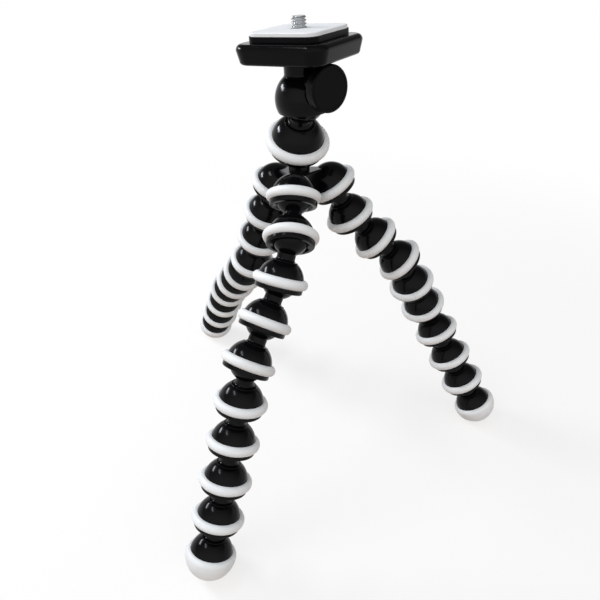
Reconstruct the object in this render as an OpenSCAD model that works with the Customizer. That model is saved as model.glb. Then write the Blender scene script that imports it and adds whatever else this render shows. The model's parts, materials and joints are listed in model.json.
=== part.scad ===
// Flexible leg tripod: three ball-jointed legs, a neck link, a ball head and a quick-release plate.
// Millimetres, +Z up. The origin is on the floor, in the middle of the feet's footprint.
// It stands as photographed: the legs bend out to three feet and the neck leans forward.

/* [Leg link] */
// Distance from the centre of a link's ball to the centre of its cup
link_pitch = 20.2; // [19.8:0.1:22.5]
// Diameter of a link's ball
ball_d = 17.4; // [17:0.1:18]
// Diameter of the neck between ball and cup
neck_d = 8.6; // [7.4:0.1:8.8]
// Outside diameter of the domed cup
cup_d = 21.6; // [21:0.1:22.4]
// Diameter of the step round the foot of the neck
collar_d = 12; // [11.2:0.1:13]
// Height of that step above the cup's centre
collar_top = 9.3; // [9.2:0.1:9.8]
// Radius of the fillet between the neck and the step
neck_fillet = 1.2; // [0.4:0.1:1.4]
// Outside diameter of the lip below the ring
lip_d = 22.4; // [21.6:0.1:23.4]
// Drop of the lip's lower face below the cup's centre
lip_drop = 4.6; // [4.2:0.1:5]
// Radius of the lip's outer edge
lip_round = 0.8; // [0.2:0.1:1]
// Drop of the edge that holds the ball below the cup's centre
edge_drop = 3.6; // [3:0.1:3.9]
// Slope of the mouth's cone away from the cup's axis, in degrees
mouth_slope = 50; // [40:1:58]

/* [Grip rings and feet] */
// Outside diameter of a grip ring
ring_d = 26; // [25:0.1:27]
// Radius of the ring's rounded section
ring_t = 2.4; // [2.3:0.1:2.8]
// Height of the ring in its seat
ring_h = 4.6; // [4:0.1:4.6]
// Diameter of the seat under a ring or foot cap
seat_d = 20; // [19:0.1:20.4]
// Outside diameter of a foot cap
foot_d = 25.2; // [24.6:0.1:27]
// Drop of the foot's spigot below the cap's centre
spigot_drop = 5; // [3:0.1:6.5]

/* [Hub] */
// Distance from the hub's axis to the centre of each cup
hub_reach = 16.2; // [15.8:0.1:18]
// Drop of the cups' centres below the hub's centre
hub_drop = 2.7; // [1:0.1:4]
// Angle of each cup's axis away from straight down
hub_splay = 32; // [26:1:38]
// Height of the top ball's centre above the hub's centre
hub_rise = 20.1; // [19.6:0.1:24]
// Size of the three-sided core, across a circle through its corners
core_d = 34; // [30:0.5:36]
// Height of the core's top above the hub's centre
core_top = 6; // [4:0.1:6.8]
// Drop of the core's underside below the hub's centre
core_drop = 6.5; // [4:0.1:8]

/* [Neck and head] */
// Size of the neck link and its ball joints, as a multiple of a leg link's
neck_scale = 1.175; // [1.1:0.005:1.2]
// Outside diameter of the head's round housing
housing_d = 24.8; // [24.4:0.1:26]
// Diameter of the column between housing and tray
column_d = 15.2; // [12:0.1:18]
// Height of the tray's underside above the centre of the head's ball
tray_rise = 16; // [15.9:0.1:20]
// Height of the lock knob's axis above the centre of the head's ball
knob_rise = 6; // [5:0.1:6.1]
// Diameter of the boss that the lock screw runs in
boss_d = 11; // [9:0.1:13]
// Reach of the boss from the head's axis
boss_reach = 12.4; // [12.2:0.1:14]
// Diameter of the lock knob
knob_d = 19; // [16:0.1:19.2]
// Thickness of the lock knob's disc
knob_h = 4.8; // [3.5:0.1:8]
// Diameter of the knob's raised back
knob_back_d = 15; // [12:0.1:16]
// Thickness of the knob's raised back
knob_back_h = 1.5; // [1:0.1:3]
// Width of the bevel round the knob's face
knob_bevel = 1; // [0.4:0.1:1.4]
// Diameter of the lock screw
lock_d = 5; // [4:0.1:6]
// Thickness of the knob's face over the end of the lock screw
lock_socket = 1.2; // [0.8:0.1:2]
// Length of the brake shoe in its bore
shoe_h = 2.4; // [1.5:0.1:3]

/* [Camera tray and quick plate] */
// Width of the square tray
tray_w = 42.5; // [38.5:0.5:50]
// Thickness of the tray
tray_h = 8; // [7.6:0.1:11]
// Radius of the tray's corners
tray_corner = 7.5; // [3:0.1:9]
// Depth of the dovetail slot in the tray
slot_depth = 5; // [4.6:0.1:5.4]
// Width of the plate's dovetail foot at its base
tail_w = 24; // [22:0.1:26]
// Width of the dovetail foot where it joins the plate
tail_top_w = 20; // [18:0.1:21]
// Length of the dovetail foot
tail_l = 26; // [22:0.1:30]
// Width of the square quick plate
plate_w = 32.4; // [31:0.1:36]
// Thickness of the quick plate above the tray
plate_h = 2.2; // [1.8:0.1:4]
// Radius of the quick plate's corners
plate_corner = 4.5; // [1:0.1:6]
// Width of the pad on the plate
pad_w = 31.6; // [24:0.1:32]
// Thickness of the pad
pad_h = 1.5; // [0.8:0.1:3]

/* [Screws] */
// Diameter of the camera screw, a quarter of an inch
screw_d = 6.35; // [6:0.01:6.5]
// Length of the camera screw above the pad
screw_reach = 4.6; // [4:0.1:9]
// Width of the bevel at the camera screw's tip
screw_bevel = 0.5; // [0.2:0.1:0.8]
// Diameter of the camera screw's plain shank in the plate, below its thread
shank_d = 5; // [4:0.1:5.8]
// Diameter of the camera screw's head
head_d = 12; // [10:0.1:14]
// Thickness of the camera screw's head
head_h = 1.8; // [1.2:0.1:2.2]
// Width of the coin slot in the screw's head
coin_w = 1.6; // [1:0.1:2]
// Outside diameter of the clip that keeps the screw in the plate
clip_d = 10; // [9:0.1:11]
// Thickness of that clip
clip_h = 0.8; // [0.5:0.1:1]
// Diameter of the two screws that hold the tray
fix_d = 2.5; // [2:0.1:3]
// Diameter of their heads
fix_head_d = 4.6; // [4:0.1:5]
// Thickness of their heads
fix_head_h = 1.4; // [1:0.1:1.8]
// Depth of those screws in the column
fix_depth = 4.5; // [3:0.1:5]
// Distance between those screws
fix_spacing = 8; // [6:0.1:9]
// Diameter of the clamp screw beside the plate's foot
clamp_d = 4; // [3:0.1:4.4]
// Width of the hexagon socket in the clamp screw, across its corners
clamp_hex = 2.3; // [1.5:0.1:2.4]
// Depth of that socket
clamp_socket = 2; // [1:0.1:4]

/* [Clearances] */
// Radial gap between a ball and its cup
ball_gap = 0.08; // [0.04:0.01:0.1]
// Gap between a ring or foot cap and its seat
seat_gap = 0.05; // [0.02:0.01:0.1]
// Gap between the plate and the tray that it slides in
slide_gap = 0.15; // [0.1:0.01:0.3]
// Radial gap round screws
screw_gap = 0.06; // [0.03:0.01:0.1]
// Gap at faces that turn past each other
turn_gap = 0.3; // [0.2:0.05:0.4]

/* [Pose] */
// Compass direction of the hub's front cup
hub_turn = -101; // [-110:1:-92]
// Lean of the hub
hub_lean = 8; // [0:1:12]
// Direction that the hub leans in
hub_lean_way = 110; // [0:5:360]
// Lean of the neck link
neck_lean = 26; // [0:1:28]
// Direction that the neck link leans in
neck_lean_way = -75; // [-180:1:180]
// Lean of the head
head_lean = 3.5; // [0:0.5:10]
// Direction that the head leans in
head_lean_way = 150; // [0:5:360]
// Turn of the head, as the knob points
head_turn = -52; // [-180:1:180]
// Turn of the tray on the head's housing
tray_turn = 21; // [-45:1:45]

/* [Hidden] */
$fn = 64;
legs = ["front", "right", "left"];
arm_ways = [for (i = [0:2]) hub_turn + 120 * i];
// Each leg from the hub to the foot, as it is bent: straight stretches of so many links,
// with their compass direction and their angle from straight down.
leg_stretches = [
    [[1, -95, 50], [1, -120, 30], [2, -125, 40], [1, -130, 20], [4, -120, 25]],
    [[1, 10, 30], [2, 5, 45], [2, 25, 30], [4, -15, 30]],
    [[3, 130, 25], [3, 120, 45], [3, 120, 35]]
];
leg_ways = [for (leg = leg_stretches) [for (run = leg) for (n = [1:run[0]]) run[1]]];
leg_drops = [for (leg = leg_stretches) [for (run = leg) for (n = [1:run[0]]) run[2]]];
leg_links = len(leg_ways[0]) - 1;

// Derived sizes
ball_r = ball_d / 2;
neck_r = neck_d / 2;
cup_r = cup_d / 2;
ring_r = ring_d / 2;
seat_r = seat_d / 2;
lip_r = lip_d / 2;
foot_r = foot_d / 2;
groove_h = ring_h + 2 * seat_gap;
neck_pitch = link_pitch * neck_scale;
head_ball_r = ball_r * neck_scale;
housing_r = housing_d / 2;
tray_top = tray_rise + tray_h;
slot_floor = tray_top - slot_depth;
plate_base = tray_top + slide_gap;
plate_top = plate_base + plate_h;
pad_top = plate_top + pad_h;
tail_base = slot_floor + slide_gap;
head_recess = head_h + 2 * slide_gap;
clip_recess = clip_h + slide_gap;
shoe_r = lock_d / 2;
shoe_end = sqrt(pow(head_ball_r, 2) - pow(knob_rise - shoe_r, 2)) + shoe_h;
knob_start = max(boss_reach, housing_r) + turn_gap;
knob_disc = knob_start + knob_back_h;
knob_end = knob_disc + knob_h;
clamp_rise = slot_floor + clamp_d / 2;
clamp_tip = tail_w / 2 + turn_gap;
clamp_end = tray_w / 2 - screw_gap;

// Standing pose
function heading(way, drop) = [sin(drop) * cos(way), sin(drop) * sin(way), -cos(drop)];
function sideways(way) = [-sin(way), cos(way), 0];
function turned(p, axis, angle) =
    p * cos(angle) + cross(axis, p) * sin(angle) + axis * (axis * p) * (1 - cos(angle));
function arm_centre(i) =
    turned([hub_reach * cos(arm_ways[i]), hub_reach * sin(arm_ways[i]), -hub_drop],
        sideways(hub_lean_way), hub_lean);
function leg_joint(i, k) =
    k == 0 ? arm_centre(i)
    : leg_joint(i, k - 1) + link_pitch * heading(leg_ways[i][k - 1], leg_drops[i][k - 1]);
foot_centres = [for (i = [0:2]) leg_joint(i, leg_links + 1)];
foot_normal = cross(foot_centres[1] - foot_centres[0], foot_centres[2] - foot_centres[0]);
floor_up = foot_normal / norm(foot_normal);
level_angle = acos(floor_up[2]);
level_cross = cross(floor_up, [0, 0, 1]);
level_axis = norm(level_cross) > 0 ? level_cross / norm(level_cross) : [1, 0, 0];
feet = [for (p = foot_centres) turned(p, level_axis, level_angle)];
foot_x = [for (p = feet) p[0]];
foot_y = [for (p = feet) p[1]];
stand_point = [
    (min(foot_x) + max(foot_x)) / 2,
    (min(foot_y) + max(foot_y)) / 2,
    feet[0][2] - foot_r
];
neck_joint = turned([0, 0, hub_rise], sideways(hub_lean_way), hub_lean);
head_joint = neck_joint - neck_pitch * heading(neck_lean_way + 180, neck_lean);

// Places: each puts its children in the part's frame.
module standing() {
    translate(-stand_point) rotate(a = level_angle, v = level_axis) children();
}

module at_leg_link(i, k) {
    standing() translate(leg_joint(i, k - 1))
        rotate([0, -leg_drops[i][k - 1], leg_ways[i][k - 1]]) children();
}

module at_hub() {
    standing() rotate(a = hub_lean, v = sideways(hub_lean_way)) children();
}

module at_arms() {
    for (way = arm_ways)
        rotate([0, 0, way]) translate([hub_reach, 0, -hub_drop]) rotate([0, -hub_splay, 0]) children();
}

module at_neck_link() {
    standing() translate(head_joint) rotate([0, neck_lean, neck_lean_way]) children();
}

module at_head() {
    standing() translate(head_joint)
        rotate(a = head_lean, v = sideways(head_lean_way)) rotate([0, 0, head_turn]) children();
}

module at_tray() {
    at_head() rotate([0, 0, tray_turn]) children();
}

module along_knob() {
    translate([0, 0, knob_rise]) rotate([0, 90, 0]) children();
}

// Sections: half profiles about the vertical axis, to be turned. The factor s sizes the neck's joints.
module right_half(s = 1) {
    reach = 3 * link_pitch * s;
    intersection() {
        children();
        translate([0, -reach]) square([reach, 2 * reach]);
    }
}

// Ball at the origin, with its neck running down to the step on the dome below.
module stem_section(s = 1) {
    step = (collar_top - link_pitch) * s;
    right_half(s) {
        circle(ball_r * s);
    }
    translate([0, step]) square([neck_r * s, -step]);
    translate([neck_r * s, step]) difference() {
        square(neck_fillet * s);
        translate([neck_fillet * s, neck_fillet * s]) circle(neck_fillet * s);
    }
}

// Dome with the step on its top and a ring groove, cut off below the groove.
module dome_section(s = 1) {
    right_half(s) difference() {
        union() {
            circle(cup_r * s);
            square([collar_d / 2 * s, collar_top * s]);
        }
        translate([0, -2 * cup_r * s - groove_h / 2 * s]) square([2 * cup_r * s, 2 * cup_r * s]);
        translate([seat_r * s, -groove_h / 2 * s]) square([cup_r * s, groove_h * s]);
    }
}

// Lip below the ring, with a rounded outer edge.
module lip_section(s = 1) {
    depth = (lip_drop - groove_h / 2) * s;
    round_r = lip_round * s;
    translate([0, -lip_drop * s]) {
        square([lip_r * s - round_r, depth]);
        translate([0, round_r]) square([lip_r * s, depth - round_r]);
        translate([lip_r * s - round_r, round_r]) circle(round_r);
    }
}

// Hollow for a ball: a sphere, opened by a cone from the edge that holds the ball.
module hollow_section(s = 1) {
    hollow_r = ball_r * s + ball_gap;
    edge = edge_drop * s;
    edge_r = sqrt(pow(hollow_r, 2) - pow(edge, 2));
    mouth = (lip_drop + lip_round) * s;
    apex = edge_r / tan(mouth_slope) - edge;
    right_half(s) circle(hollow_r);
    polygon([[0, apex], [(apex + mouth) * tan(mouth_slope), -mouth], [0, -mouth]]);
}

module cup_solid(s = 1) {
    rotate_extrude() {
        dome_section(s);
        lip_section(s);
    }
}

module cup_hollow(s = 1) {
    rotate_extrude() hollow_section(s);
}

// Link with its ball at the origin and its cup below.
module link_shell(s = 1) {
    rotate_extrude() difference() {
        union() {
            stem_section(s);
            translate([0, -link_pitch * s]) dome_section(s);
            translate([0, -link_pitch * s]) lip_section(s);
        }
        translate([0, -link_pitch * s]) hollow_section(s);
    }
}

// Ring round a cup whose centre is at the origin.
module grip_ring(s = 1) {
    inner = seat_r * s + seat_gap;
    core = (ring_r - ring_t) * s;
    rotate_extrude() intersection() {
        union() {
            translate([core, 0]) circle(ring_t * s);
            translate([inner, -ring_h / 2 * s]) square([max(core - inner, seat_gap), ring_h * s]);
        }
        translate([inner, -ring_h / 2 * s]) square([ring_r * s, ring_h * s]);
    }
}

// Room round a ring, cut from what lies beside its cup.
module ring_room() {
    rotate_extrude() translate([seat_r, -ring_h / 2 - turn_gap])
        square([ring_r - seat_r + turn_gap, ring_h + 2 * turn_gap]);
}

module rounded_square(w, r) {
    side = w - 2 * r;
    square([side, w], center = true);
    square([w, side], center = true);
    for (x = [-1, 1], y = [-1, 1])
        translate([x * side / 2, y * side / 2]) circle(r);
}

module tail_section(grow) {
    half = tail_w / 2 + grow;
    top_half = tail_top_w / 2 + grow;
    polygon([[-half, 0], [half, 0], [top_half, slot_depth], [-top_half, slot_depth]]);
}

// Legs
module leg_link(i, k) {
    at_leg_link(i, k) {
        color("#1a1b1d") link_shell();
        color("#ecebe7") translate([0, 0, -link_pitch]) grip_ring();
    }
}

module foot_link(i) {
    color("#1a1b1d") at_leg_link(i, leg_links + 1) rotate_extrude() {
        stem_section();
        translate([0, -link_pitch]) dome_section();
        translate([0, -link_pitch - spigot_drop]) square([seat_r, spigot_drop + groove_h / 2]);
    }
}

module foot_cap(i) {
    tube = foot_r - ring_t;
    color("#ecebe7") at_leg_link(i, leg_links + 1) translate([0, 0, -link_pitch])
        rotate_extrude() difference() {
            union() {
                right_half() intersection() {
                    circle(foot_r);
                    translate([0, -foot_r]) square(foot_r);
                }
                intersection() {
                    translate([tube, 0]) circle(ring_t);
                    square([foot_r, ring_h / 2]);
                }
                square([tube, ring_h / 2]);
            }
            translate([0, -spigot_drop - seat_gap]) square([seat_r + seat_gap, spigot_drop + ring_h]);
        }
}

// Hub and neck
module hub() {
    color("#1a1b1d") at_hub() difference() {
        union() {
            at_arms() cup_solid();
            difference() {
                rotate([0, 0, arm_ways[0]]) translate([0, 0, -core_drop])
                    cylinder(d = core_d, h = core_drop + core_top, $fn = 3);
                at_arms() ring_room();
            }
            translate([0, 0, hub_rise]) rotate_extrude() {
                right_half(neck_scale) circle(head_ball_r);
                translate([0, -hub_rise]) square([neck_r * neck_scale, hub_rise]);
            }
        }
        at_arms() cup_hollow();
    }
}

module hub_rings() {
    color("#ecebe7") at_hub() at_arms() grip_ring();
}

module neck_link() {
    color("#1a1b1d") at_neck_link() link_shell(neck_scale);
}

module neck_ring() {
    color("#ecebe7") at_neck_link() translate([0, 0, -neck_pitch]) grip_ring(neck_scale);
}

// Head
module head_housing() {
    bore_r = lock_d / 2 + screw_gap;
    color("#1a1b1d") at_head() difference() {
        union() {
            rotate_extrude() right_half() difference() {
                circle(housing_r);
                translate([0, -lip_drop * neck_scale - housing_d]) square(housing_d);
            }
            cylinder(d = column_d, h = tray_rise);
            along_knob() cylinder(d = boss_d, h = boss_reach);
        }
        cup_hollow(neck_scale);
        along_knob() cylinder(r = bore_r, h = 2 * boss_reach);
        rotate([0, 0, tray_turn]) tray_screw_bores();
    }
}

module at_tray_screws() {
    for (side = [-1, 1])
        translate([0, side * fix_spacing / 2, 0]) children();
}

module tray_screw_bores() {
    at_tray_screws() {
        translate([0, 0, tray_rise - fix_depth - screw_gap])
            cylinder(d = fix_d + 2 * screw_gap, h = tray_h + fix_depth);
        translate([0, 0, slot_floor - fix_head_h - screw_gap])
            cylinder(d = fix_head_d + 2 * screw_gap, h = tray_h);
    }
}

module brake_shoe() {
    color("#d8d4c6") at_head() difference() {
        along_knob() cylinder(r = shoe_r, h = shoe_end);
        sphere(head_ball_r + ball_gap);
    }
}

module lock_screw() {
    color("silver") at_head() along_knob() translate([0, 0, shoe_end + screw_gap])
        cylinder(d = lock_d, h = knob_end - lock_socket - shoe_end - screw_gap);
}

module lock_knob() {
    bore_r = lock_d / 2 + screw_gap;
    color("#222326") at_head() along_knob() rotate_extrude() polygon([
        [bore_r, knob_start],
        [knob_back_d / 2, knob_start],
        [knob_back_d / 2, knob_disc],
        [knob_d / 2, knob_disc],
        [knob_d / 2, knob_end - knob_bevel],
        [knob_d / 2 - knob_bevel, knob_end],
        [0, knob_end],
        [0, knob_end - lock_socket + screw_gap],
        [bore_r, knob_end - lock_socket + screw_gap]
    ]);
}

module head_tray() {
    slot_start = -tail_l / 2 - slide_gap;
    color("#1a1b1d") at_tray() difference() {
        translate([0, 0, tray_rise]) linear_extrude(tray_h) rounded_square(tray_w, tray_corner);
        translate([0, slot_start, slot_floor]) rotate([90, 0, 180])
            linear_extrude(tray_w) tail_section(slide_gap);
        tray_screw_bores();
        translate([-clamp_tip + turn_gap, 0, clamp_rise]) rotate([0, -90, 0])
            cylinder(d = clamp_d + 2 * screw_gap, h = tray_w);
    }
}

module tray_screws() {
    color("silver") at_tray() at_tray_screws() {
        translate([0, 0, tray_rise - fix_depth]) cylinder(d = fix_d, h = slot_floor - tray_rise + fix_depth);
        translate([0, 0, slot_floor - fix_head_h]) cylinder(d = fix_head_d, h = fix_head_h);
    }
}

// Quick plate
module quick_plate() {
    color("#202124") at_tray() difference() {
        union() {
            translate([0, 0, plate_base]) linear_extrude(plate_h) rounded_square(plate_w, plate_corner);
            translate([0, -tail_l / 2, tail_base]) rotate([90, 0, 180])
                linear_extrude(tail_l) tail_section(0);
        }
        cylinder(d = screw_d + 2 * slide_gap, h = 2 * pad_top);
        translate([0, 0, tail_base - head_h]) cylinder(d = head_d + 2 * slide_gap, h = head_h + head_recess);
        translate([0, 0, plate_top - clip_recess]) cylinder(d = clip_d + 2 * slide_gap, h = pad_top);
    }
}

module plate_pad() {
    color("#f1f0ec") at_tray() translate([0, 0, plate_top]) difference() {
        linear_extrude(pad_h) rounded_square(pad_w, plate_corner);
        translate([0, 0, -pad_h]) cylinder(d = screw_d + 4 * slide_gap, h = 3 * pad_h);
    }
}

module camera_screw() {
    start = tail_base + slide_gap;
    tip = pad_top + screw_reach;
    color("silver") at_tray() difference() {
        rotate_extrude() polygon([
            [0, start],
            [head_d / 2, start],
            [head_d / 2, start + head_h],
            [shank_d / 2, start + head_h],
            [shank_d / 2, pad_top],
            [screw_d / 2, pad_top],
            [screw_d / 2, tip - screw_bevel],
            [screw_d / 2 - screw_bevel, tip],
            [0, tip]
        ]);
        translate([-head_d, -coin_w / 2, start - head_h / 2]) cube([2 * head_d, coin_w, head_h]);
    }
}

module screw_clip() {
    color("silver") at_tray() translate([0, 0, plate_top - clip_h - slide_gap / 2]) difference() {
        cylinder(d = clip_d, h = clip_h);
        translate([0, 0, -clip_h]) cylinder(d = shank_d + 2 * screw_gap, h = 3 * clip_h);
    }
}

module plate_clamp() {
    color("silver") at_tray() translate([0, 0, clamp_rise]) rotate([0, -90, 0]) difference() {
        translate([0, 0, clamp_tip]) cylinder(d = clamp_d, h = clamp_end - clamp_tip);
        translate([0, 0, clamp_end - clamp_socket]) cylinder(d = clamp_hex, h = tray_w, $fn = 6);
    }
}

for (i = [0:2]) {
    for (k = [1:leg_links])
        leg_link(i, k);
    foot_link(i);
    foot_cap(i);
}
hub();
hub_rings();
neck_link();
neck_ring();
head_housing();
brake_shoe();
lock_screw();
lock_knob();
head_tray();
tray_screws();
quick_plate();
plate_pad();
camera_screw();
screw_clip();
plate_clamp();
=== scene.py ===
"""Flexible leg tripod: its surfaces, finishes, light and camera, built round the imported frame."""
import json
import math

import bmesh
import bpy
import numpy as np
from mathutils import Matrix


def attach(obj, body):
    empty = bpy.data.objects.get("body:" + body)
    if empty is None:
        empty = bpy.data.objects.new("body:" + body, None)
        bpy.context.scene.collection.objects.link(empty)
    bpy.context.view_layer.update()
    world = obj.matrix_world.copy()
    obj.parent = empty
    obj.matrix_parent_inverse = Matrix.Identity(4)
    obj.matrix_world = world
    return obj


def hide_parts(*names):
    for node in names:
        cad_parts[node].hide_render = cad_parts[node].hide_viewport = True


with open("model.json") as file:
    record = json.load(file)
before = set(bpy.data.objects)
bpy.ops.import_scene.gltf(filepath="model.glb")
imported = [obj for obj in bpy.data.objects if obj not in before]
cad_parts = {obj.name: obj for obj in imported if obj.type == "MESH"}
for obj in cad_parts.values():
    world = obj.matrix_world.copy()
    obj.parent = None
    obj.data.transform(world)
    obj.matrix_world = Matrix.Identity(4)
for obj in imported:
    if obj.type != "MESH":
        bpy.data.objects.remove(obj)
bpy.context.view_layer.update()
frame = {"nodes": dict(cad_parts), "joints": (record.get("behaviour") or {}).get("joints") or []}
joints = {joint["name"]: joint for joint in frame["joints"]}

MM = 0.001
LEGS = ("front", "right", "left")
LINKS = 8

# Links, in millimetres: a ball above, a neck, and a domed cup below with a seat for its ring
LINK_PITCH = 20.2
BALL_R = 8.7
NECK_R = 4.3
NECK_FILLET = 1.2
COLLAR_R = 6.0
COLLAR_TOP = 9.3
CUP_R = 10.8
SEAT_R = 10.0
SEAT_HALF = 2.35
LIP_R = 11.2
LIP_DROP = 4.6
LIP_ROUND = 0.8
EDGE_DROP = 3.6
MOUTH_SLOPE = 50
BALL_GAP = 0.08
EDGE_ROUND = 0.25

# Grip rings and feet
RING_R = 13.0
RING_ROUND = 2.4
RING_HALF = 2.3
SEAT_GAP = 0.05
TURN_GAP = 0.3
FOOT_R = 12.6
SPIGOT_DROP = 5.0

# Hub
HUB_SPLAY = 32
HUB_DROP = 2.7
CORE_R = 17.0
CORE_TOP = 6.0
CORE_DROP = 6.5
CORE_CORNER = 3.0
CORE_ROUND = 1.0

# Neck and head, in the housing's own frame: ball centre at the origin, knob along +X
NECK_SCALE = 1.175
HOUSING_R = 12.4
COLUMN_R = 7.6
COLUMN_FILLET = 2.0
TRAY_RISE = 16.0
KNOB_RISE = 6.0
BOSS_R = 5.5
BOSS_REACH = 12.4
KNOB_R = 9.5
KNOB_START = 12.7
KNOB_DISC = 14.2
KNOB_END = 19.0
KNOB_BACK_R = 7.5
KNOB_BEVEL = 1.0
KNOB_DISH_R = 7.9
KNOB_DISH = 0.3
LOCK_R = 2.5
LOCK_SOCKET = 1.2

# Tray, quick plate and screws, in the tray's own frame: as the housing's, but the plate slides along +Y
TRAY_HALF = 21.25
TRAY_H = 8.0
TRAY_CORNER = 7.5
TRAY_TOP_ROUND = 2.4
TRAY_FOOT_ROUND = 1.6
TRAY_TAPER = 1.0
SLOT_DEPTH = 5.0
TAIL_HALF = 12.0
TAIL_TOP_HALF = 10.0
TAIL_LENGTH = 26.0
SLIDE_GAP = 0.15
SCREW_GAP = 0.06
PLATE_H = 2.2
PAD_BASE = TRAY_RISE + TRAY_H + SLIDE_GAP + PLATE_H
PAD_H = 1.5
PAD_HALF = 15.8
PAD_CORNER = 4.5
PAD_ROUND = 0.5
PAD_HOLE_R = 3.475
FIX_SPACING = 8.0
FIX_R = 1.25
FIX_DEPTH = 4.5
FIX_HEAD_R = 2.3
FIX_HEAD_H = 1.4
CLAMP_R = 2.0
THREAD_R = 3.175
THREAD_PITCH = 1.27
THREAD_DEPTH = 0.69
THREAD_SLOPE = 2.6
THREAD_FLAT = 0.15
SCREW_REACH = 4.6
SHANK_R = 2.5
SCREW_HEAD_R = 6.0
SCREW_HEAD_H = 1.8
COIN_SLOT = 1.6

# Fineness of the surfaces: steps round a turn, round a corner and up the thread, the angle in degrees past
# which an edge is sharp, and the distance in metres within which points are one
TURN_STEPS = 80
CORNER_STEPS = 12
THREAD_STEPS = 110
SHARP_ANGLE = 32
MERGE_DISTANCE = 1e-7
# A direction that no axis of the object has
SPARE_WAY = (0.31, 0.53, 0.79)


# Shapes


def unit(vector):
    """The vector at length one."""
    vector = np.asarray(vector, float)
    return vector / np.linalg.norm(vector)


def joint_point(name):
    """A joint's centre, in millimetres."""
    return np.array(joints[name]["pos_m"]) / MM


def joint_axis(name):
    """A joint's axis, at length one."""
    return unit(joints[name]["axis"])


def upright(up, across=SPARE_WAY):
    """Rows of a right-handed frame whose third row is up and whose first row leans towards across."""
    up = unit(up)
    first = unit(across - up * np.dot(across, up))
    return np.array([first, np.cross(up, first), up])


def placed(points, origin, axes):
    """Points given along the rows of axes, put at origin."""
    return np.asarray(origin) + points @ axes


def arc(centre, radius, start, end, count):
    """Points of a circular arc in a profile, from one angle to another in degrees."""
    angle = np.radians(np.linspace(start, end, count))
    return np.stack([centre[0] + radius * np.cos(angle), centre[1] + radius * np.sin(angle)], -1)


def grid_faces(rows, columns, loop=False):
    """Quads between neighbouring rows of a grid whose columns close; loop closes the rows too."""
    row = np.arange(rows if loop else rows - 1)[:, None]
    column = np.arange(columns)[None, :]
    row_after = (row + 1) % rows
    column_after = (column + 1) % columns
    corners = [row * columns + column, row * columns + column_after,
               row_after * columns + column_after, row_after * columns + column]
    return np.stack(corners, -1).reshape(-1, 4)


def turned(profile, loop=False):
    """Surface of revolution: x = r cos t, y = r sin t, z = h for each profile point (r, h)."""
    profile = np.vstack(profile)
    angle = np.linspace(0, 2 * np.pi, TURN_STEPS, endpoint=False)
    radius, height = profile.T
    level = np.repeat(height[:, None], TURN_STEPS, axis=1)
    points = np.stack([np.outer(radius, np.cos(angle)), np.outer(radius, np.sin(angle)), level], -1)
    return points.reshape(-1, 3), grid_faces(len(profile), TURN_STEPS, loop)


def ball(radius):
    """A whole sphere: a half circle turned round."""
    return turned([arc((0, 0), radius, 90, -90, count=40)])


def slab(corners, corner_r, profile):
    """Rounded polygon carried up a profile of (inset, height).

    The outline is an arc round each corner centre, and the inset shortens the arcs' radius. The ends close
    at the middle.
    """
    inset, height = np.vstack(profile).T
    centres = np.asarray(corners, float)
    facing = np.degrees(np.arctan2(centres[:, 1], centres[:, 0]))
    spread = 180 / len(centres)
    angle = np.radians((facing[:, None] + np.linspace(-spread, spread, CORNER_STEPS)).ravel())
    around = np.stack([np.cos(angle), np.sin(angle)], -1)
    middle = np.repeat(centres, CORNER_STEPS, axis=0)
    outline = middle[None] + (corner_r - inset)[:, None, None] * around[None]
    pole = np.zeros_like(outline[:1])
    rows = np.concatenate([pole, outline, pole])
    level = np.concatenate([height[:1], height, height[-1:]])
    level = np.repeat(level[:, None], rows.shape[1], axis=1)
    points = np.concatenate([rows, level[..., None]], -1)
    return points.reshape(-1, 3), grid_faces(len(rows), rows.shape[1])


def square_corners(half, corner_r):
    """Centres of the four corner arcs of a rounded square."""
    reach = half - corner_r
    return [(reach, reach), (-reach, reach), (-reach, -reach), (reach, -reach)]


def prism(section, start, end):
    """A flat section in X and Z, carried straight along Y."""
    section = np.asarray(section, float)
    count = len(section)
    near = np.stack([section[:, 0], np.full(count, start), section[:, 1]], -1)
    far = near + [0, end - start, 0]
    after = (np.arange(count) + 1) % count
    sides = np.stack([np.arange(count), after, after + count, np.arange(count) + count], -1)
    ends = [list(range(count))[::-1], list(range(count, 2 * count))]
    return np.vstack([near, far]), [*sides.tolist(), *ends]


def mesh_of(name, points, faces):
    """A closed mesh, in metres: poles merged, faces outwards and soft edges shaded smooth."""
    mesh = bpy.data.meshes.new(name)
    mesh.from_pydata((np.asarray(points) * MM).tolist(), [], np.asarray(faces, dtype=object).tolist())
    shape = bmesh.new()
    shape.from_mesh(mesh)
    bmesh.ops.remove_doubles(shape, verts=shape.verts, dist=MERGE_DISTANCE)
    bmesh.ops.dissolve_degenerate(shape, dist=MERGE_DISTANCE, edges=shape.edges)
    bmesh.ops.recalc_face_normals(shape, faces=shape.faces)
    shape.to_mesh(mesh)
    shape.free()
    mesh.shade_smooth()
    mesh.set_sharp_from_angle(angle=math.radians(SHARP_ANGLE))
    return mesh


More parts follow.
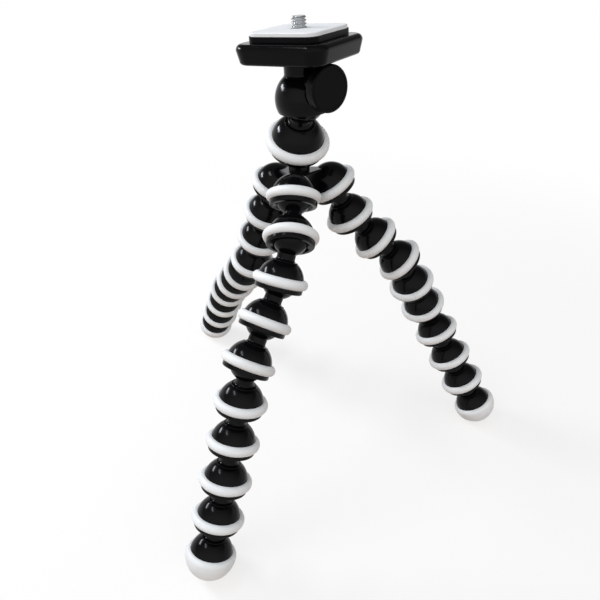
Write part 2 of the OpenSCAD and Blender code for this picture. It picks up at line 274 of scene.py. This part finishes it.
def add_piece(name, points, faces, material, body, nodes=(), cutters=()):
    """One finished piece: its mesh, less its cutters, riding on a body in place of CAD nodes."""
    piece = bpy.data.objects.new(name, mesh_of(name, points, faces))
    bpy.context.scene.collection.objects.link(piece)
    for number, cutter in enumerate(cutters):
        tool_name = f"{name}_cutter_{number}"
        tool = bpy.data.objects.new(tool_name, mesh_of(tool_name, *cutter))
        bpy.context.scene.collection.objects.link(tool)
        cut = piece.modifiers.new("cut", "BOOLEAN")
        cut.object = tool
        cut.solver = "EXACT"
        evaluated = piece.evaluated_get(bpy.context.evaluated_depsgraph_get())
        cut_mesh = bpy.data.meshes.new_from_object(evaluated)
        piece.modifiers.clear()
        piece.data = cut_mesh
        bpy.data.objects.remove(tool)
    if cutters:
        piece.data.shade_smooth()
        piece.data.set_sharp_from_angle(angle=math.radians(SHARP_ANGLE))
        piece.modifiers.new("flat_faces", "WEIGHTED_NORMAL").keep_sharp = True
    piece.data.materials.clear()
    piece.data.materials.append(material)
    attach(piece, body)
    if nodes:
        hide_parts(*nodes)
    return piece


# Materials


def linear(hex_colour):
    """sRGB hex to linear red, green, blue and alpha."""
    value = np.array([int(hex_colour[i:i + 2], 16) for i in (1, 3, 5)]) / 255
    value = np.where(value <= 0.04045, value / 12.92, ((value + 0.055) / 1.055) ** 2.4)
    return (*value.tolist(), 1.0)


def add_node(tree, kind, settings, links):
    """Adds a node: settings are its properties, links its sockets' values or where they come from."""
    made = tree.nodes.new(kind)
    for name, value in settings.items():
        setattr(made, name, value)
    for name, value in links.items():
        if isinstance(value, bpy.types.NodeSocket):
            tree.links.new(value, made.inputs[name])
        else:
            made.inputs[name].default_value = value
    return made


def per_metre(size_mm):
    """Noise scale, in waves per metre, for patches of a size in millimetres."""
    return 1000 / size_mm


def moulded(name, dark, light, patch_mm, rough, rough_patch_mm, grain_mm, grain_depth_mm, ior=1.5,
            specular=0.5, metallic=0.0):
    """A moulded or plated surface: colour and roughness drift in soft patches over a fine grain."""
    material = bpy.data.materials.new(name)
    material.use_nodes = True
    tree = material.node_tree
    shader = tree.nodes["Principled BSDF"]
    place = add_node(tree, "ShaderNodeTexCoord", {}, {}).outputs["Object"]
    patches = add_node(tree, "ShaderNodeTexNoise", {},
                       {"Vector": place, "Scale": per_metre(patch_mm), "Detail": 3.0, "Roughness": 0.55})
    tint = add_node(tree, "ShaderNodeMix", {"data_type": "RGBA"},
                    {0: patches.outputs["Fac"], 6: linear(dark), 7: linear(light)})
    smears = add_node(tree, "ShaderNodeTexNoise", {},
                      {"Vector": place, "Scale": per_metre(rough_patch_mm), "Detail": 4.0,
                       "Roughness": 0.6})
    polish = add_node(tree, "ShaderNodeMapRange", {},
                      {"Value": smears.outputs["Fac"], "From Min": 0.3, "From Max": 0.7,
                       "To Min": rough[0], "To Max": rough[1]})
    grain = add_node(tree, "ShaderNodeTexNoise", {},
                     {"Vector": place, "Scale": per_metre(grain_mm), "Detail": 2.0, "Roughness": 0.5})
    relief = add_node(tree, "ShaderNodeBump", {},
                      {"Height": grain.outputs["Fac"], "Distance": grain_depth_mm * MM, "Strength": 1.0})
    tree.links.new(tint.outputs[2], shader.inputs["Base Color"])
    tree.links.new(polish.outputs["Result"], shader.inputs["Roughness"])
    tree.links.new(relief.outputs["Normal"], shader.inputs["Normal"])
    shader.inputs["Metallic"].default_value = metallic
    shader.inputs["IOR"].default_value = ior
    shader.inputs["Specular IOR Level"].default_value = specular
    return material


# Injection-moulded ABS from a polished mould: deep black with sharp reflections that waver a little
gloss_abs = moulded("gloss_black_abs", "#050506", "#0a0a0c", patch_mm=9, rough=(0.13, 0.2), rough_patch_mm=6,
                    grain_mm=2.2, grain_depth_mm=0.004, specular=0.1)
# Dense polished ABS of the tray: black flat sides, with light only along the rounded edges
tray_abs = moulded("polished_dense_black_abs", "#040405", "#070709", patch_mm=8, rough=(0.12, 0.2),
                   rough_patch_mm=5, grain_mm=1.4, grain_depth_mm=0.004, specular=0.08)
# Moulded ABS with a spark-eroded texture: black that scatters light, so its flat faces read as even.
# The real texture is about 0.1 mm, drawn at 0.6 mm so that it shows
satin_abs = moulded("satin_black_abs", "#050506", "#0a0a0c", patch_mm=5, rough=(0.3, 0.4), rough_patch_mm=4,
                    grain_mm=0.6, grain_depth_mm=0.008, specular=0.06)
# Soft thermoplastic rubber, moulded white: smooth and satin, a little cool, with handling marks
white_tpr = moulded("white_thermoplastic_rubber", "#dfe1e2", "#eceff1", patch_mm=11, rough=(0.36, 0.5),
                    rough_patch_mm=5, grain_mm=0.8, grain_depth_mm=0.006)
# Moulded silicone pad: matt white with a fine even grain, drawn coarser than the real one so that it shows
silicone = moulded("white_silicone_pad", "#e1e3e4", "#eceef0", patch_mm=7, rough=(0.55, 0.68), rough_patch_mm=4,
                   grain_mm=0.6, grain_depth_mm=0.01, ior=1.43)
# Nickel-plated steel: bright metal, slightly hazed by plating and handling
nickel_steel = moulded("nickel_plated_steel", "#acadaf", "#d0d1d2", patch_mm=3, rough=(0.14, 0.26),
                       rough_patch_mm=1.5, grain_mm=0.5, grain_depth_mm=0.003, metallic=1.0)
# Natural nylon: cream and waxy
nylon = moulded("natural_nylon", "#cfcab9", "#dcd8ca", patch_mm=4, rough=(0.4, 0.5), rough_patch_mm=3,
                grain_mm=0.6, grain_depth_mm=0.006, ior=1.53)


# Links, rings and feet


def stem(s=1.0):
    """Profile of a ball at the origin, from its pole to its neck, fillet and the step above the dome."""
    step = (COLLAR_TOP - LINK_PITCH) * s
    waist = math.degrees(math.acos(NECK_R / BALL_R))
    return [
        arc((0, 0), BALL_R * s, 90, -waist, count=36),
        arc(((NECK_R + NECK_FILLET) * s, step + NECK_FILLET * s), NECK_FILLET * s, 180, 270, count=8),
        arc((COLLAR_R * s - EDGE_ROUND, step - EDGE_ROUND), EDGE_ROUND, 90, 0, count=5),
    ]


def dome(start_r, s=1.0):
    """Profile of the dome round a cup's centre, from a radius near its top down to the ring's seat."""
    top = math.degrees(math.acos(start_r / CUP_R))
    seat = math.degrees(math.asin(SEAT_HALF / CUP_R))
    return [arc((0, 0), CUP_R * s, top, seat, count=22), np.array([[SEAT_R, SEAT_HALF]]) * s]


def lip_and_hollow(s=1.0):
    """Profile of the lip under the ring, then in along the mouth's cone and up round the ball's hollow."""
    hollow_r = BALL_R * s + BALL_GAP
    edge_angle = math.degrees(math.asin(EDGE_DROP * s / hollow_r))
    edge_r = hollow_r * math.cos(math.radians(edge_angle))
    mouth_r = edge_r + (LIP_DROP - EDGE_DROP) * s * math.tan(math.radians(MOUTH_SLOPE))
    return [
        np.array([[SEAT_R, -SEAT_HALF], [LIP_R, -SEAT_HALF]]) * s,
        arc(((LIP_R - LIP_ROUND) * s, (LIP_ROUND - LIP_DROP) * s), LIP_ROUND * s, 0, -90, count=8),
        np.array([[mouth_r, -LIP_DROP * s]]),
        arc((0, 0), hollow_r, -edge_angle, 90, count=24),
    ]


def lowered(profile, drop):
    """The same profile, lower by drop."""
    return [part - [0, drop] for part in profile]


def link_shell(s=1.0):
    """A whole link: ball, neck, dome, lip and hollow, as one closed profile turned round."""
    cup = dome(COLLAR_R, s) + lip_and_hollow(s)
    return turned(stem(s) + lowered(cup, LINK_PITCH * s))


def foot_shell():
    """A foot's link: as a link down to the seat, then a plain spigot inside the cap."""
    spigot = [np.array([[SEAT_R, -SPIGOT_DROP], [0, -SPIGOT_DROP]])]
    return turned(stem() + lowered(dome(COLLAR_R) + spigot, LINK_PITCH))


def cup_shell():
    """A hub cup: a full dome with its lip and hollow."""
    return turned(dome(0.0) + lip_and_hollow())


def grip_ring(s=1.0):
    """A grip ring: a round-edged band, its section turned round as a closed loop."""
    reach = math.degrees(math.asin(RING_HALF / RING_ROUND))
    inner = SEAT_R * s + SEAT_GAP
    section = [
        arc(((RING_R - RING_ROUND) * s, 0), RING_ROUND * s, reach, -reach, count=26),
        np.array([[inner, -RING_HALF * s], [inner, RING_HALF * s]]),
    ]
    return turned(section, loop=True)


def ring_room():
    """Room round a ring: a plain square-edged band, to be cut from what lies beside its cup."""
    half, reach = RING_HALF + TURN_GAP, RING_R + TURN_GAP
    return turned([np.array([[SEAT_R, -half], [reach, -half], [reach, half], [SEAT_R, half]])], loop=True)


def foot_cap():
    """A foot cap: most of a sphere below, a rounded shoulder above, and a socket for the spigot."""
    reach = math.degrees(math.asin(RING_HALF / RING_ROUND))
    inner = SEAT_R + SEAT_GAP
    floor = -SPIGOT_DROP - SEAT_GAP
    return turned([
        arc((0, 0), FOOT_R, -90, 0, count=30),
        arc((FOOT_R - RING_ROUND, 0), RING_ROUND, 0, reach, count=12),
        np.array([[inner, RING_HALF], [inner, floor], [0, floor]]),
    ])


def add_turned(name, shape, origin, axes, material, body, nodes=(), cutters=()):
    """A turned shape put in its place and made a piece, less cutters given in the same local frame."""
    points, faces = shape
    cutters = [(placed(cut_points, origin, axes), cut_faces) for cut_points, cut_faces in cutters]
    return add_piece(name, placed(points, origin, axes), faces, material, body, nodes, cutters)


def foot_centre(leg, joint):
    """Centre of a foot cap, on the foot link's axis: from its ball through the centre of its area."""
    mesh = frame["nodes"][f"{leg}_foot_link"].data
    points = np.empty(3 * len(mesh.vertices))
    mesh.vertices.foreach_get("co", points)
    mesh.calc_loop_triangles()
    corners = np.empty(3 * len(mesh.loop_triangles), int)
    mesh.loop_triangles.foreach_get("vertices", corners)
    triangles = points.reshape(-1, 3)[corners.reshape(-1, 3)] / MM
    sides = np.cross(triangles[:, 1] - triangles[:, 0], triangles[:, 2] - triangles[:, 0])
    middle = np.average(triangles.mean(axis=1), axis=0, weights=np.linalg.norm(sides, axis=1))
    return joint + LINK_PITCH * unit(middle - joint)


def build_leg(leg):
    """One leg: its links with their rings, and its foot."""
    balls = [joint_point(f"{leg}_bend_{number}") for number in range(1, LINKS + 2)]
    balls.append(foot_centre(leg, balls[-1]))
    for number in range(1, LINKS + 1):
        ball, cup = balls[number - 1], balls[number]
        axes = upright(ball - cup)
        name = f"{leg}_link_{number}"
        add_turned(f"{name}_shell", link_shell(), ball, axes, gloss_abs, name, [name])
        add_turned(f"{name}_ring", grip_ring(), cup, axes, white_tpr, name, [name])
    axes = upright(balls[-2] - balls[-1])
    body = f"{leg}_foot"
    add_turned(f"{leg}_foot_shell", foot_shell(), balls[-2], axes, gloss_abs, body,
               [f"{leg}_foot_link"])
    add_turned(f"{leg}_foot_grip", foot_cap(), balls[-1], axes, white_tpr, body,
               [f"{leg}_foot_cap"])


# Hub and neck


def build_hub():
    """The hub: three cups with rings round a three-sided core, and the ball that carries the neck."""
    cups = np.array([joint_point(f"{leg}_bend_1") for leg in LEGS])
    middle = cups.mean(axis=0)
    up = unit(np.cross(cups[1] - cups[0], cups[2] - cups[0]))
    centre = middle + HUB_DROP * up
    splay = math.radians(HUB_SPLAY)
    axes = upright(up, cups[0] - middle)
    wall, wall_faces = ball((BALL_R + BALL_GAP + SEAT_R) / 2)
    room, room_faces = ring_room()
    core_cuts = []
    for leg, cup in zip(LEGS, cups):
        mouth = math.sin(splay) * unit(cup - middle) - math.cos(splay) * up
        cup_axes = upright(-mouth)
        place = axes @ (cup - centre)
        core_cuts += [(wall + place, wall_faces), (placed(room, place, cup_axes @ axes.T), room_faces)]
        add_turned(f"hub_{leg}_cup", cup_shell(), cup, cup_axes, gloss_abs, "hub", ["hub"])
        add_turned(f"hub_{leg}_ring", grip_ring(), cup, cup_axes, white_tpr, "hub",
                   ["hub_rings"])
    turn = np.radians([0, 120, 240])
    corners = (CORE_R - 2 * CORE_CORNER) * np.stack([np.cos(turn), np.sin(turn)], -1)
    core = slab(corners, CORE_CORNER, [
        arc((CORE_ROUND, CORE_ROUND - CORE_DROP), CORE_ROUND, -90, -180, count=7),
        arc((CORE_ROUND, CORE_TOP - CORE_ROUND), CORE_ROUND, 180, 90, count=7),
    ])
    add_turned("hub_core", core, centre, axes, gloss_abs, "hub", ["hub"], core_cuts)
    neck_ball = joint_point("neck_tilt")
    drop = np.dot(centre - neck_ball, up)
    waist = math.degrees(math.acos(NECK_R / BALL_R))
    post = turned([
        arc((0, 0), BALL_R * NECK_SCALE, 90, -waist, count=36),
        np.array([[NECK_R * NECK_SCALE, drop], [0, drop]]),
    ])
    add_turned("hub_ball", post, neck_ball, axes, gloss_abs, "hub", ["hub"])


def build_neck():
    """The neck link and its ring: as a leg link's, larger."""
    ball, cup = joint_point("head_pan"), joint_point("neck_tilt")
    axes = upright(ball - cup)
    add_turned("neck_shell", link_shell(NECK_SCALE), ball, axes, gloss_abs, "neck",
               ["neck_link"])
    add_turned("neck_grip", grip_ring(NECK_SCALE), cup, axes, white_tpr, "neck",
               ["neck_ring"])


# Head


def housing_profile():
    """Profile of the head's housing: column, fillet, round body, rim, mouth and the ball's hollow."""
    fillet_r = COLUMN_R + COLUMN_FILLET
    fillet_h = math.sqrt((HOUSING_R + COLUMN_FILLET) ** 2 - fillet_r ** 2)
    meet = math.degrees(math.atan2(fillet_h, fillet_r))
    drop = LIP_DROP * NECK_SCALE
    rim = math.degrees(math.asin((LIP_ROUND - drop) / (HOUSING_R - LIP_ROUND)))
    rim_r = (HOUSING_R - LIP_ROUND) * math.cos(math.radians(rim))
    return [
        np.array([[0, TRAY_RISE], [COLUMN_R, TRAY_RISE]]),
        arc((fillet_r, fillet_h), COLUMN_FILLET, 180, 180 + meet, count=10),
        arc((0, 0), HOUSING_R, meet, rim, count=30),
        arc((rim_r, LIP_ROUND - drop), LIP_ROUND, rim, -90, count=8),
        *lip_and_hollow(NECK_SCALE)[2:],
    ]


def knob_profile():
    """Profile of the lock knob about its axis: screw pocket, stepped back, disc, rim and dished face."""
    rim = KNOB_R - KNOB_BEVEL
    bore = LOCK_R + SCREW_GAP
    pocket = KNOB_END - LOCK_SOCKET + SCREW_GAP
    return [
        np.array([[0, pocket], [bore, pocket], [bore, KNOB_START]]),
        arc((KNOB_BACK_R - EDGE_ROUND, KNOB_START + EDGE_ROUND), EDGE_ROUND, -90, 0, count=5),
        np.array([[KNOB_BACK_R, KNOB_DISC]]),
        arc((KNOB_R - EDGE_ROUND, KNOB_DISC + EDGE_ROUND), EDGE_ROUND, -90, 0, count=5),
        arc((rim, KNOB_END - KNOB_BEVEL), KNOB_BEVEL, 0, 90, count=10),
        arc((KNOB_DISH_R, KNOB_END - KNOB_DISH / 2), KNOB_DISH / 2, 90, 180, count=5),
        np.array([[0, KNOB_END - KNOB_DISH]]),
    ]


def thread_shape(base, top):
    """Right-hand thread: the radius follows a flattened triangle wave of height less turn.

    The wave fades at the tip, and the ends close at the axis.
    """
    angle = np.linspace(0, 2 * np.pi, TURN_STEPS, endpoint=False)
    height = np.linspace(base, top, THREAD_STEPS)
    phase = (height[:, None] / THREAD_PITCH - angle[None, :] / (2 * np.pi)) % 1
    crest = np.clip(THREAD_SLOPE * np.abs(phase - 0.5) - THREAD_FLAT, 0, 1)
    tip = np.clip((top - height) / THREAD_DEPTH, 0, 1)[:, None]
    radius = THREAD_R - THREAD_DEPTH * np.maximum(1 - crest, 1 - tip)
    level = np.repeat(height[:, None], TURN_STEPS, axis=1)
    points = np.stack([radius * np.cos(angle), radius * np.sin(angle), level], -1)
    ends = np.zeros((2, TURN_STEPS, 3))
    ends[:, :, 2] = [[base], [top]]
    rows = np.concatenate([ends[:1], points, ends[1:]])
    return rows.reshape(-1, 3), grid_faces(len(rows), TURN_STEPS)


def build_head():
    """The head: housing with its boss, lock knob, tray, quick plate's pad and camera screw."""
    origin = joint_point("head_pan")
    knob, along, up = joint_axis("knob_turn"), joint_axis("plate_slide"), joint_axis("head_pan")
    axes = np.array([knob, np.cross(up, knob), up])
    knob_axes = axes[[1, 2, 0]]
    tray_axes = np.array([np.cross(along, up), along, up])
    knob_point = origin + KNOB_RISE * up
    lock_bore, bore_faces = bore_shape(LOCK_R + SCREW_GAP, 0, 2 * BOSS_REACH)
    sideways = np.array([[0, 1, 0], [0, 0, 1], [1, 0, 0]])
    bores = [(placed(lock_bore, [0, 0, KNOB_RISE], sideways), bore_faces)]
    bores += [(points @ tray_axes @ axes.T, faces) for points, faces in tray_screw_bores()]
    add_turned("housing_shell", turned(housing_profile()), origin, axes, gloss_abs, "head",
               ["head_housing"], bores)
    boss = turned([
        np.array([[LOCK_R + SCREW_GAP, 0], [BOSS_R, 0]]),
        arc((BOSS_R - EDGE_ROUND, BOSS_REACH - EDGE_ROUND), EDGE_ROUND, 0, 90, count=5),
        np.array([[LOCK_R + SCREW_GAP, BOSS_REACH]]),
    ], loop=True)
    wall, wall_faces = ball((BALL_R * NECK_SCALE + BALL_GAP + HOUSING_R) / 2)
    add_turned("lock_boss", boss, knob_point, knob_axes, gloss_abs, "head",
               ["head_housing"], [(wall - [0, KNOB_RISE, 0], wall_faces)])
    add_turned("lock_knob_grip", turned(knob_profile()), knob_point, knob_axes, satin_abs, "knob",
               ["lock_knob"])
    build_tray(origin, tray_axes)
    pad = slab(square_corners(PAD_HALF, PAD_CORNER), PAD_CORNER, [
        np.array([[0, PAD_BASE]]),
        arc((PAD_ROUND, PAD_BASE + PAD_H - PAD_ROUND), PAD_ROUND, 180, 90, count=7),
    ])
    add_turned("camera_pad", pad, origin, tray_axes, silicone, "plate", ["plate_pad"],
               [bore_shape(PAD_HOLE_R, PAD_BASE - PAD_H, PAD_BASE + 2 * PAD_H)])
    build_screw(origin, tray_axes)


def bore_shape(radius, start, end):
    """A plain round bore along the local Z axis, to be cut."""
    return turned([np.array([[0, start], [radius, start], [radius, end], [0, end]])])


def tray_screw_bores():
    """Bores of the two tray screws, stepped for their heads, to be cut."""
    floor = TRAY_RISE + TRAY_H - SLOT_DEPTH
    shank, head = FIX_R + SCREW_GAP, FIX_HEAD_R + SCREW_GAP
    foot, step = TRAY_RISE - FIX_DEPTH - SCREW_GAP, floor - FIX_HEAD_H - SCREW_GAP
    points, faces = turned([np.array([[0, foot], [shank, foot], [shank, step], [head, step],
                                      [head, floor + TRAY_H], [0, floor + TRAY_H]])])
    return [(points + [0, side * FIX_SPACING / 2, 0], faces) for side in (-1, 1)]


def build_tray(origin, axes):
    """The tray: a rounded square with tapered sides, less the dovetail slot and its screws' holes."""
    top = TRAY_RISE + TRAY_H
    floor = top - SLOT_DEPTH
    body, faces = slab(square_corners(TRAY_HALF, TRAY_CORNER), TRAY_CORNER, [
        arc((TRAY_TAPER + TRAY_FOOT_ROUND, TRAY_RISE + TRAY_FOOT_ROUND), TRAY_FOOT_ROUND, -90, -180,
            count=9),
        arc((TRAY_TOP_ROUND, top - TRAY_TOP_ROUND), TRAY_TOP_ROUND, 180, 90, count=12),
    ])
    over = 1.0
    slope = (TAIL_HALF - TAIL_TOP_HALF) / SLOT_DEPTH
    half, top_half = TAIL_HALF + SLIDE_GAP, TAIL_TOP_HALF + SLIDE_GAP - slope * over
    slot = prism([(-half, floor), (half, floor), (top_half, top + over), (-top_half, top + over)],
                 -TAIL_LENGTH / 2 - SLIDE_GAP, TRAY_HALF + over)
    clamp, clamp_faces = bore_shape(CLAMP_R + SCREW_GAP, TAIL_HALF, TRAY_HALF + over)
    clamp_axes = np.array([[0, 1, 0], [0, 0, -1], [-1, 0, 0]])
    clamp = placed(clamp, [0, 0, floor + CLAMP_R], clamp_axes)
    add_turned("tray_shell", (body, faces), origin, axes, tray_abs, "head", ["head_tray"],
               [slot, *tray_screw_bores(), (clamp, clamp_faces)])


def build_screw(origin, axes):
    """The camera screw: a threaded end above the pad, and a shank and slotted head in the plate."""
    base = TRAY_RISE + TRAY_H - SLOT_DEPTH + 2 * SLIDE_GAP
    pad_top = PAD_BASE + PAD_H
    add_turned("screw_thread", thread_shape(pad_top, pad_top + SCREW_REACH), origin, axes, nickel_steel,
               "screw", ["camera_screw"])
    head, faces = turned([
        np.array([[0, base], [SCREW_HEAD_R, base], [SCREW_HEAD_R, base + SCREW_HEAD_H],
                  [SHANK_R, base + SCREW_HEAD_H], [SHANK_R, pad_top + THREAD_PITCH],
                  [0, pad_top + THREAD_PITCH]])])
    half, depth = COIN_SLOT / 2, SCREW_HEAD_H / 2
    coin, coin_faces = prism([(-half, base - depth), (half, base - depth), (half, base + depth),
                              (-half, base + depth)], -2 * SCREW_HEAD_R, 2 * SCREW_HEAD_R)
    coin = coin[:, [1, 0, 2]]
    add_turned("screw_shank", (head, faces), origin, axes, nickel_steel, "screw", ["camera_screw"],
               [(coin, coin_faces)])


def dress_plain_nodes():
    """CAD nodes whose shape is right as it is take their real material."""
    finishes = {"quick_plate": satin_abs, "brake_shoe": nylon, "lock_screw": nickel_steel,
                "tray_screws": nickel_steel, "screw_clip": nickel_steel, "plate_clamp": nickel_steel}
    for node, material in finishes.items():
        for place in frame["nodes"][node].material_slots:
            place.material = material


# Stage

# Distances in metres, strengths where 1 is white, and the sky's fades as directions' Y and Z
WHITE = (1, 1, 1, 1)
FLOOR_R = 9.0
FLOOR_NEAR = 0.2
FLOOR_FAR = 0.6
FLOOR_COLOUR = "#f6f4f1"
FLOOR_BOUNCE = "#927a66"
FLOOR_WHITE = 0.7
LAMP_COLOUR = "#f4f8ff"
SKY_BACK = 0.22
SKY_FRONT = 1.3
SKY_FADE = (0.4, -0.9)
SKY_FOOT = (0.32, 0.12)
# Lamps, in millimetres and watts
LAMP_TARGET = (-20, 0, 130)
LEFT_WINDOW = {"place_mm": (-660, 280, 470), "width_mm": 300, "height_mm": 80, "watts": 3.5}
HIGH_WINDOW = {"place_mm": (-400, -60, 850), "width_mm": 330, "height_mm": 60, "watts": 1.6}


def build_floor():
    """A plain pale floor: a disc that takes the shadow near the object and shows as white further off.

    The light that it throws back up on the object is weaker and warmer, as under the photographed feet.
    """
    radius = np.array([0.0, FLOOR_R])
    angle = np.linspace(0, 2 * np.pi, TURN_STEPS, endpoint=False)
    points = np.stack([np.outer(radius, np.cos(angle)), np.outer(radius, np.sin(angle)),
                       np.zeros((2, TURN_STEPS))], -1).reshape(-1, 3)
    floor = bpy.data.objects.new("floor", mesh_of("floor", points / MM, grid_faces(2, TURN_STEPS)))
    bpy.context.scene.collection.objects.link(floor)
    material = bpy.data.materials.new("pale_paper_floor")
    material.use_nodes = True
    tree = material.node_tree
    tree.nodes.clear()
    place = add_node(tree, "ShaderNodeTexCoord", {}, {}).outputs["Object"]
    far = add_node(tree, "ShaderNodeVectorMath", {"operation": "LENGTH"}, {0: place})
    fade = add_node(tree, "ShaderNodeMapRange", {"interpolation_type": "SMOOTHSTEP"},
                    {"Value": far.outputs["Value"], "From Min": FLOOR_NEAR, "From Max": FLOOR_FAR,
                     "To Min": FLOOR_WHITE})
    seen = seen_ray(tree)
    tint = add_node(tree, "ShaderNodeMix", {"data_type": "RGBA"},
                    {0: seen, 6: linear(FLOOR_BOUNCE), 7: linear(FLOOR_COLOUR)})
    paper = add_node(tree, "ShaderNodeBsdfDiffuse", {}, {"Color": tint.outputs[2]})
    white = add_node(tree, "ShaderNodeEmission", {}, {"Color": WHITE, "Strength": 1.0})
    share = add_node(tree, "ShaderNodeMath", {"operation": "MULTIPLY"},
                     {0: fade.outputs["Result"], 1: seen})
    mix = add_node(tree, "ShaderNodeMixShader", {},
                   {0: share.outputs[0], 1: paper.outputs[0], 2: white.outputs[0]})
    add_node(tree, "ShaderNodeOutputMaterial", {}, {"Surface": mix.outputs[0]})
    floor.data.materials.append(material)


def seen_ray(tree):
    """One for camera, glossy and transmission rays, so that reflections show the same background."""
    path = add_node(tree, "ShaderNodeLightPath", {}, {})
    either = add_node(tree, "ShaderNodeMath", {"operation": "MAXIMUM"},
                      {0: path.outputs["Is Camera Ray"], 1: path.outputs["Is Glossy Ray"]})
    return add_node(tree, "ShaderNodeMath", {"operation": "MAXIMUM"},
                    {0: either.outputs[0], 1: path.outputs["Is Transmission Ray"]}).outputs[0]


def build_world():
    """Soft room light, the same for every ray: bright in front, darker behind, white along the horizon."""
    world = bpy.data.worlds.new("studio")
    bpy.context.scene.world = world
    world.use_nodes = True
    tree = world.node_tree
    tree.nodes.clear()
    way = add_node(tree, "ShaderNodeTexCoord", {}, {}).outputs["Generated"]
    parts = add_node(tree, "ShaderNodeSeparateXYZ", {}, {0: way})
    shade = add_node(tree, "ShaderNodeMapRange", {"interpolation_type": "SMOOTHSTEP"},
                     {"Value": parts.outputs["Y"], "From Min": SKY_FADE[0], "From Max": SKY_FADE[1],
                      "To Min": SKY_BACK, "To Max": SKY_FRONT})
    foot = add_node(tree, "ShaderNodeMapRange", {"interpolation_type": "SMOOTHSTEP"},
                    {"Value": parts.outputs["Z"], "From Min": SKY_FOOT[0], "From Max": SKY_FOOT[1]})
    level = add_node(tree, "ShaderNodeMath", {"operation": "MAXIMUM"},
                     {0: shade.outputs["Result"], 1: foot.outputs["Result"]})
    room = add_node(tree, "ShaderNodeBackground", {}, {"Color": WHITE, "Strength": level.outputs[0]})
    add_node(tree, "ShaderNodeOutputWorld", {}, {"Surface": room.outputs[0]})


def add_lamp(name, place_mm, width_mm, height_mm, watts):
    """A soft rectangular lamp at a place, facing the middle of the object."""
    lamp = bpy.data.lights.new(name, "AREA")
    lamp.shape = "RECTANGLE"
    lamp.size = width_mm * MM
    lamp.size_y = height_mm * MM
    lamp.energy = watts
    lamp.color = linear(LAMP_COLOUR)[:3]
    holder = bpy.data.objects.new(name, lamp)
    holder.visible_camera = False
    back = unit(np.subtract(place_mm, LAMP_TARGET))
    right = unit(np.cross([0, 0, 1], back))
    rotation = Matrix(np.array([right, np.cross(back, right), back]).T.tolist()).to_4x4()
    holder.matrix_world = Matrix.Translation((np.array(place_mm) * MM).tolist()) @ rotation
    bpy.context.scene.collection.objects.link(holder)


def build_lights():
    """Two window-like lamps, one low at the left and one almost overhead. The sky does the rest."""
    add_lamp("window_left", **LEFT_WINDOW)
    add_lamp("window_above", **HIGH_WINDOW)


# Camera fitted to the photograph, which is 600 pixels square: place and sensor in millimetres, angles in
# degrees, clipping in metres
PHOTO_WIDTH = 600
SENSOR_WIDTH = 36.0
CLIP_NEAR = 0.01
CLIP_FAR = 100.0
FOCAL_PIXELS = 554.0
CAMERA_POINT = (-22.3, -254.4, 269.5)
CAMERA_DOWN = 34.0
CAMERA_LEFT = 0.14
CAMERA_ROLL = -0.47


def build_camera():
    """The photograph's camera: it looks along +Y and down, a little turned and rolled."""
    lens = bpy.data.cameras.new("photo_camera")
    lens.sensor_fit = "HORIZONTAL"
    lens.sensor_width = SENSOR_WIDTH
    lens.lens = SENSOR_WIDTH * FOCAL_PIXELS / PHOTO_WIDTH
    lens.clip_start = CLIP_NEAR
    lens.clip_end = CLIP_FAR
    camera = bpy.data.objects.new("photo_camera", lens)
    turn = Matrix.Rotation(math.radians(CAMERA_LEFT), 4, "Z")
    tip = Matrix.Rotation(math.radians(90 - CAMERA_DOWN), 4, "X")
    roll = Matrix.Rotation(math.radians(CAMERA_ROLL), 4, "Z")
    camera.matrix_world = Matrix.Translation((np.array(CAMERA_POINT) * MM).tolist()) @ turn @ tip @ roll
    bpy.context.scene.collection.objects.link(camera)
    bpy.context.scene.camera = camera


for leg in LEGS:
    build_leg(leg)
build_hub()
build_neck()
build_head()
dress_plain_nodes()
build_floor()
build_world()
build_lights()
build_camera()
bpy.context.scene.view_settings.view_transform = "Standard"
